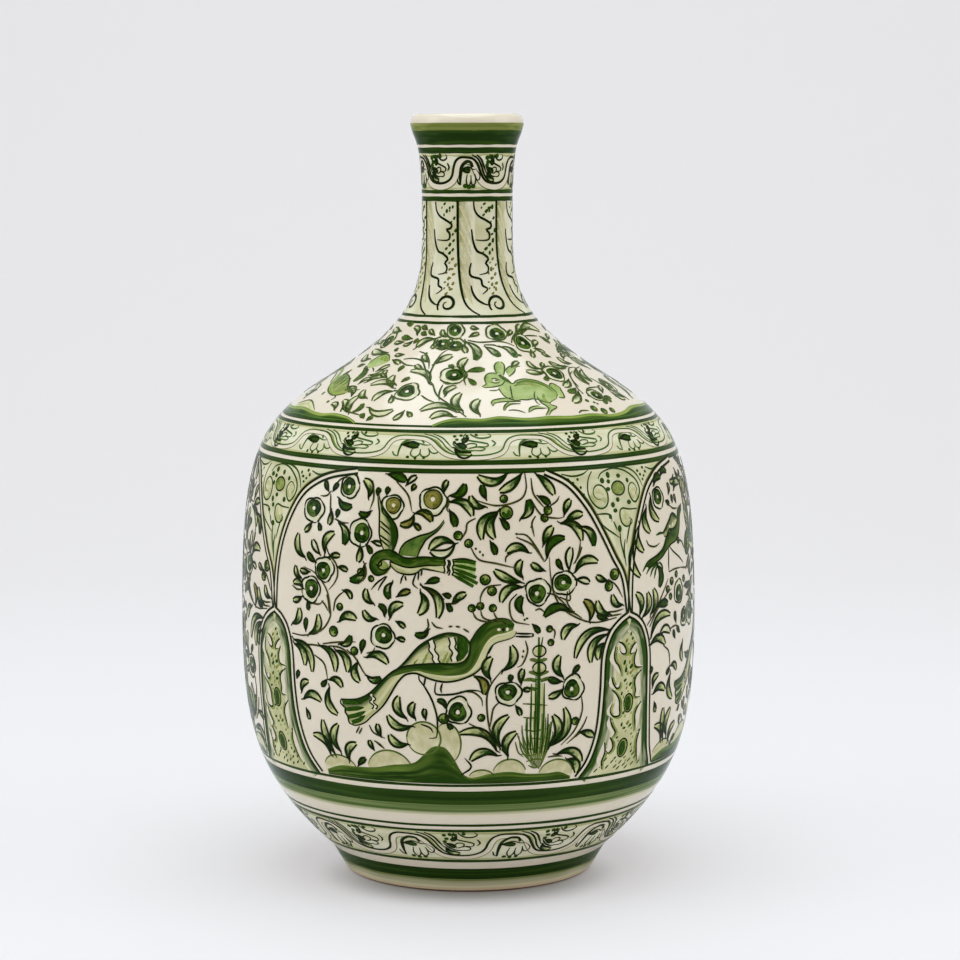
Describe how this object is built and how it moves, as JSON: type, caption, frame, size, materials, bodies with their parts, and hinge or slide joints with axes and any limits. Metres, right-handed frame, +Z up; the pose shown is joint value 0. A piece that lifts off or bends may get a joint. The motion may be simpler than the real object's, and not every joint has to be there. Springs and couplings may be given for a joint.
{
  "type": "bottle vase",
  "caption": "Bottle-shaped glazed earthenware vase with a foot ring, full belly, sloping shoulder and narrow neck, painted with green foliage scrolls; it stands on its foot and holds flowers.",
  "frame": {"origin": "centre of the ring that the vase stands on, at floor level", "axes": "+Z up along the vase's axis of turning, -Y towards the viewer of the picture, +X to the viewer's right"},
  "size_m": [0.2276, 0.2276, 0.379],
  "materials": {
    "cream_glaze": "glossy cream tin glaze on earthenware",
    "luting_slip": "matt fired slip",
    "green_pigment": "glossy green underglaze painting"
  },
  "bodies": {
    "root": {"foot_ring": "cream_glaze", "foot_slip": "luting_slip", "base_bowl": "cream_glaze", "bowl_slip": "luting_slip", "belly_wall": "cream_glaze", "belt_slip": "luting_slip", "shoulder": "cream_glaze", "neck_slip": "luting_slip", "neck": "cream_glaze"}
  },
  "joints": []
}
